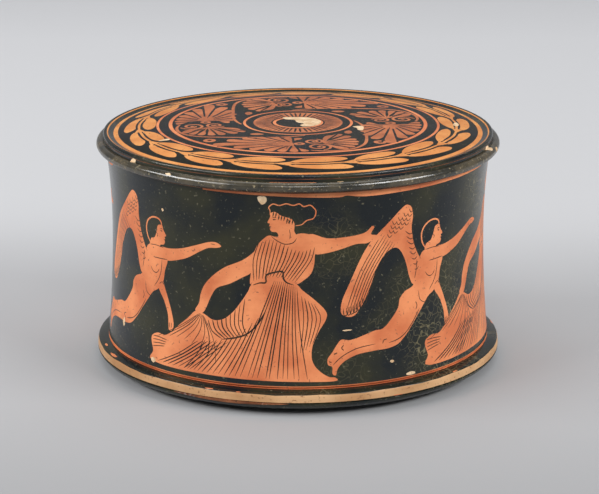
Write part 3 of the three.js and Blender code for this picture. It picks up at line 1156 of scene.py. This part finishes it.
class Recipe:
    """The nodes of one procedural material. Every pattern is read from Object coordinates."""

    def __init__(self, name: str) -> None:
        """Starts a material from the plain shader and one coordinate node.

        Args:
            name: Name of the material.
        """
        self.material = bpy.data.materials.new(name)
        self.material.use_nodes = True
        self.nodes = self.material.node_tree.nodes
        self.links = self.material.node_tree.links
        self.shader = self.nodes["Principled BSDF"]
        self.place = self.nodes.new("ShaderNodeTexCoord").outputs["Object"]

    def noise(self, scale: float, detail: float, upright: float = 1.0) -> bpy.types.Node:
        """Adds a noise pattern.

        Args:
            scale: How fine the pattern is.
            detail: How many finer layers it has.
            upright: How much it is pressed together in height.

        Returns:
            The noise node.
        """
        mapping = self.nodes.new("ShaderNodeMapping")
        mapping.inputs["Scale"].default_value = (1, 1, upright)
        self.links.new(self.place, mapping.inputs["Vector"])
        found = self.nodes.new("ShaderNodeTexNoise")
        found.inputs["Scale"].default_value = scale
        found.inputs["Detail"].default_value = detail
        self.links.new(mapping.outputs["Vector"], found.inputs["Vector"])
        return found

    def ramp(self, source: bpy.types.NodeSocket, low: float, high: float, first: float = 0.0,
             last: float = 1.0) -> bpy.types.NodeSocket:
        """Stretches a pattern between two of its values.

        Args:
            source: The pattern.
            low: Value that becomes the first one.
            high: Value that becomes the last one.
            first: What it gives at low.
            last: What it gives at high.

        Returns:
            The stretched pattern.
        """
        found = self.nodes.new("ShaderNodeMapRange")
        for name, value in (("From Min", low), ("From Max", high), ("To Min", first), ("To Max", last)):
            found.inputs[name].default_value = value
        self.links.new(source, found.inputs["Value"])
        return found.outputs["Result"]

    def times(self, first: bpy.types.NodeSocket, second: bpy.types.NodeSocket) -> bpy.types.NodeSocket:
        """Multiplies two patterns.

        Args:
            first: One pattern.
            second: The other pattern.

        Returns:
            Their product.
        """
        found = self.nodes.new("ShaderNodeMath")
        found.operation = "MULTIPLY"
        self.links.new(first, found.inputs[0])
        self.links.new(second, found.inputs[1])
        return found.outputs["Value"]

    def mix(self, factor: bpy.types.NodeSocket, first: Colour | bpy.types.NodeSocket,
            second: Colour) -> bpy.types.NodeSocket:
        """Mixes two colours.

        Args:
            factor: Share of the second colour.
            first: A plain colour or one that is already mixed.
            second: A plain colour.

        Returns:
            The mixed colour.
        """
        found = self.nodes.new("ShaderNodeMix")
        found.data_type = "RGBA"
        self.links.new(factor, found.inputs["Factor"])
        if isinstance(first, tuple):
            found.inputs[6].default_value = (*first, 1)
        else:
            self.links.new(first, found.inputs[6])
        found.inputs[7].default_value = (*second, 1)
        return found.outputs[2]

    def crackle(self) -> bpy.types.NodeSocket:
        """A net of fine cracks in worn patches, which grows stronger towards the right side.

        Returns:
            The share of cracks.
        """
        warp = self.nodes.new("ShaderNodeVectorMath")
        warp.operation = "MULTIPLY_ADD"
        warp.inputs[1].default_value = (0.012, 0.012, 0.012)
        self.links.new(self.noise(120, 2).outputs["Color"], warp.inputs[0])
        self.links.new(self.place, warp.inputs[2])
        cells = self.nodes.new("ShaderNodeTexVoronoi")
        cells.feature = "DISTANCE_TO_EDGE"
        cells.inputs["Scale"].default_value = 330
        self.links.new(warp.outputs["Vector"], cells.inputs["Vector"])
        sides = self.nodes.new("ShaderNodeSeparateXYZ")
        self.links.new(self.place, sides.inputs["Vector"])
        cracks = self.ramp(cells.outputs["Distance"], 0.045, 0.0)
        patches = self.ramp(self.noise(26, 4).outputs["Fac"], 0.5, 0.66)
        right = self.ramp(sides.outputs["X"], -0.012, 0.05)
        return self.times(self.times(cracks, patches), right)

    def bump(self, height: bpy.types.NodeSocket, strength: float, distance: float) -> bpy.types.Node:
        """Adds unevenness.

        Args:
            height: The pattern that raises the surface.
            strength: How much of it is felt.
            distance: Its greatest height in metres.

        Returns:
            The bump node.
        """
        found = self.nodes.new("ShaderNodeBump")
        found.inputs["Strength"].default_value = strength
        found.inputs["Distance"].default_value = distance
        self.links.new(height, found.inputs["Height"])
        return found


@dataclass(frozen=True)
class Finish:
    """One ceramic finish: its colours, gloss and the scale of its unevenness."""

    name: str
    dark: Colour
    light: Colour
    fleck: Colour
    roughness: float
    spread: float = 0.06
    fleck_share: float = 0.02
    bump: float = 0.25
    mottle: float = 60.0
    sheen: float = 0.3
    crackle: Colour | None = None

    def make(self) -> None:
        """Builds the material: mottled colour with flecks, uneven gloss, wheel marks and fine pits."""
        recipe = Recipe(self.name)
        mottled = recipe.noise(self.mottle, 5).outputs["Fac"]
        grain = recipe.noise(GRAIN_SCALE, 3).outputs["Fac"]
        wheel_marks = recipe.noise(40, 3, 22).outputs["Fac"]
        colour = recipe.mix(recipe.ramp(mottled, 0.38, 0.64), self.dark, self.light)
        colour = recipe.mix(recipe.ramp(grain, 0.66 - self.fleck_share, 0.72), colour, self.fleck)
        if self.crackle:
            colour = recipe.mix(recipe.crackle(), colour, self.crackle)
        gloss = recipe.ramp(mottled, 0.3, 0.7, self.roughness - self.spread, self.roughness + self.spread)
        marks = recipe.bump(wheel_marks, self.bump, WHEEL_MARK_HEIGHT)
        pits = recipe.bump(grain, self.bump * 0.8, PIT_HEIGHT)
        recipe.links.new(marks.outputs["Normal"], pits.inputs["Normal"])
        recipe.links.new(colour, recipe.shader.inputs["Base Color"])
        recipe.links.new(gloss, recipe.shader.inputs["Roughness"])
        recipe.links.new(pits.outputs["Normal"], recipe.shader.inputs["Normal"])
        recipe.shader.inputs["Specular IOR Level"].default_value = self.sheen


FINISHES: dict[Paint, Finish] = {
    Paint.GLOSS: Finish("black_gloss", (0.006, 0.009, 0.011), (0.026, 0.026, 0.012), (0.12, 0.11, 0.07),
                        0.21, fleck_share=0.01, bump=0.26, mottle=55, sheen=0.38,
                        crackle=(0.20, 0.17, 0.09)),
    Paint.CLAY: Finish("reserved_clay", (0.62, 0.17, 0.064), (0.84, 0.295, 0.12), (0.30, 0.11, 0.06),
                       0.5, mottle=70),
    Paint.RELIEF: Finish("relief_line", (0.016, 0.013, 0.010), (0.045, 0.026, 0.014), (0.12, 0.06, 0.03),
                         0.3, spread=0.05, bump=0.2, mottle=160),
    Paint.DILUTE: Finish("dilute_slip", (0.12, 0.035, 0.014), (0.30, 0.11, 0.045), (0.05, 0.02, 0.01),
                         0.38, fleck_share=0.03, mottle=130),
    Paint.CHIP: Finish("bare_break", (0.62, 0.40, 0.22), (0.84, 0.64, 0.42), (0.40, 0.26, 0.15),
                       0.85, spread=0.05, fleck_share=0.04, bump=0.6, mottle=300),
    Paint.LEAF: Finish("leaf_clay", (0.62, 0.22, 0.055), (0.76, 0.33, 0.10), (0.34, 0.14, 0.05),
                       0.5, fleck_share=0.03, mottle=90),
    Paint.DEEP: Finish("deep_clay", (0.40, 0.115, 0.04), (0.58, 0.19, 0.075), (0.22, 0.08, 0.04),
                       0.45, fleck_share=0.04, mottle=110),
    Paint.PALE: Finish("pale_band", (0.42, 0.21, 0.085), (0.64, 0.38, 0.19), (0.26, 0.12, 0.05),
                       0.5, fleck_share=0.05, bump=0.3, mottle=45),
    Paint.DULL: Finish("dull_black", (0.004, 0.005, 0.006), (0.016, 0.016, 0.010), (0.10, 0.08, 0.05),
                       0.34, fleck_share=0.01, sheen=0.12),
    # Olive-brown worn gloss of the torus; its lighter colour is partly a painted highlight.
    Paint.WORN: Finish("worn_and_lit_gloss", (0.020, 0.019, 0.012), (0.085, 0.066, 0.036), (0.30, 0.24, 0.14),
                       0.23, spread=0.05, fleck_share=0.05, bump=0.3, mottle=120, sheen=0.85),
}


@dataclass(frozen=True)
class Lamp:
    """One soft box that looks at the vessel."""

    name: str
    place: Place
    size: tuple[float, float]
    watts: float

    def hang(self) -> None:
        """Puts the lamp into the scene."""
        data = bpy.data.lights.new(self.name, "AREA")
        data.shape = "RECTANGLE"
        data.size, data.size_y = self.size
        data.energy = self.watts
        made = bpy.data.objects.new(self.name, data)
        made.location = self.place
        aim = Vector((0, 0, 0.05)) - Vector(self.place)
        made.rotation_euler = aim.to_track_quat("-Z", "Y").to_euler()
        bpy.context.scene.collection.objects.link(made)


@dataclass(frozen=True)
class Studio:
    """Camera, pale floor and soft lights."""

    distance: float = 0.900
    height: float = 0.2932
    pitch: float = 15.66
    focal_pixels: float = 2505.0
    axis_pixel: float = 298.0
    # Floor greys from front to back: the darker front greys are painted shade.
    floor_shade_greys: tuple[float, float, float] = (0.34, 0.60, 0.78)
    floor_front: float = -0.15
    floor_back: float = 0.62
    room_colour: Colour = (0.8, 0.8, 0.82)
    room_strength: float = 0.3
    lamps: tuple[Lamp, ...] = (
        Lamp("left_box", (-0.95, -0.35, 0.62), (0.95, 0.24), 10.4),
        Lamp("right_box", (0.9, -0.55, 0.66), (0.85, 0.24), 10.4),
        Lamp("front_box", (0.1, -1.6, 1.3), (0.9, 0.5), 7.5),
        Lamp("top_box", (0.0, 0.3, 1.5), (1.4, 0.9), 5.5),
    )

    def camera(self) -> None:
        """Sets the camera at the viewing height and angle of the photograph."""
        data = bpy.data.cameras.new("camera")
        data.sensor_width = 36
        data.lens = self.focal_pixels * data.sensor_width / PICTURE_WIDTH
        data.shift_x = (PICTURE_WIDTH / 2 - self.axis_pixel) / PICTURE_WIDTH
        made = bpy.data.objects.new("camera", data)
        made.location = (0, -self.distance, self.height)
        made.rotation_euler = (math.radians(90 - self.pitch), 0, 0)
        bpy.context.scene.collection.objects.link(made)
        bpy.context.scene.camera = made

    def paper(self) -> bpy.types.Material:
        """The floor's paper, whose grey grows paler towards the back; the darker grey at the front is
        painted shade.

        Returns:
            Its material.
        """
        recipe = Recipe("studio_paper_shaded")
        parts = recipe.nodes.new("ShaderNodeSeparateXYZ")
        greys = recipe.nodes.new("ShaderNodeValToRGB")
        greys.color_ramp.elements.new(0.42)
        for stop, grey in zip(greys.color_ramp.elements, self.floor_shade_greys):
            stop.color = (grey, grey * 1.01, grey * 1.035, 1)
        recipe.links.new(recipe.place, parts.inputs["Vector"])
        depth = recipe.ramp(parts.outputs["Y"], self.floor_front, self.floor_back)
        recipe.links.new(depth, greys.inputs["Fac"])
        recipe.links.new(greys.outputs["Color"], recipe.shader.inputs["Base Color"])
        recipe.shader.inputs["Roughness"].default_value = 0.9
        return recipe.material

    def floor(self) -> None:
        """Lays the floor, which curves up into the backdrop."""
        outline = [(-3.0, 0.0), (1.6, 0.0)] + bend((1.6, 0.0), (2.6, 0.0), (2.6, 1.0), 12) + [(2.6, 3.2)]
        points = [(x, y, z) for y, z in outline for x in (-4.0, 4.0)]
        faces = [(2 * i, 2 * i + 1, 2 * i + 3, 2 * i + 2) for i in range(len(outline) - 1)]
        mesh = bpy.data.meshes.new("studio_floor")
        mesh.from_pydata(points, [], faces)
        mesh.materials.append(self.paper())
        made = bpy.data.objects.new("studio_floor", mesh)
        bpy.context.scene.collection.objects.link(made)

    def room(self) -> None:
        """Sets the even light of the room."""
        world = bpy.data.worlds.new("room")
        world.use_nodes = True
        background = world.node_tree.nodes["Background"]
        background.inputs["Color"].default_value = (*self.room_colour, 1)
        background.inputs["Strength"].default_value = self.room_strength
        bpy.context.scene.world = world

    def set_up(self) -> None:
        """Makes the camera, floor and lights, and sets the plain view transform."""
        self.camera()
        self.floor()
        for lamp in self.lamps:
            lamp.hang()
        self.room()
        bpy.context.scene.view_settings.view_transform = "Standard"


def main() -> None:
    """Builds the studio, the box and the lid, and gives each piece its body."""
    logging.basicConfig(level=logging.INFO, format="%(message)s")
    Studio().set_up()
    for finish in FINISHES.values():
        finish.make()
    lid = Lid(top=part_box("lid")[1].z / MM).build()
    box = Box(radius=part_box("box")[1].x / MM).build()
    for piece, node, slot in ((lid, "lid", "lid_clay"), (box, "box", "box_clay")):
        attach(piece, node)
        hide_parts(node)
        log.info("%s: %d faces", piece.name, len(piece.data.polygons))


if __name__ == "__main__":
    main()
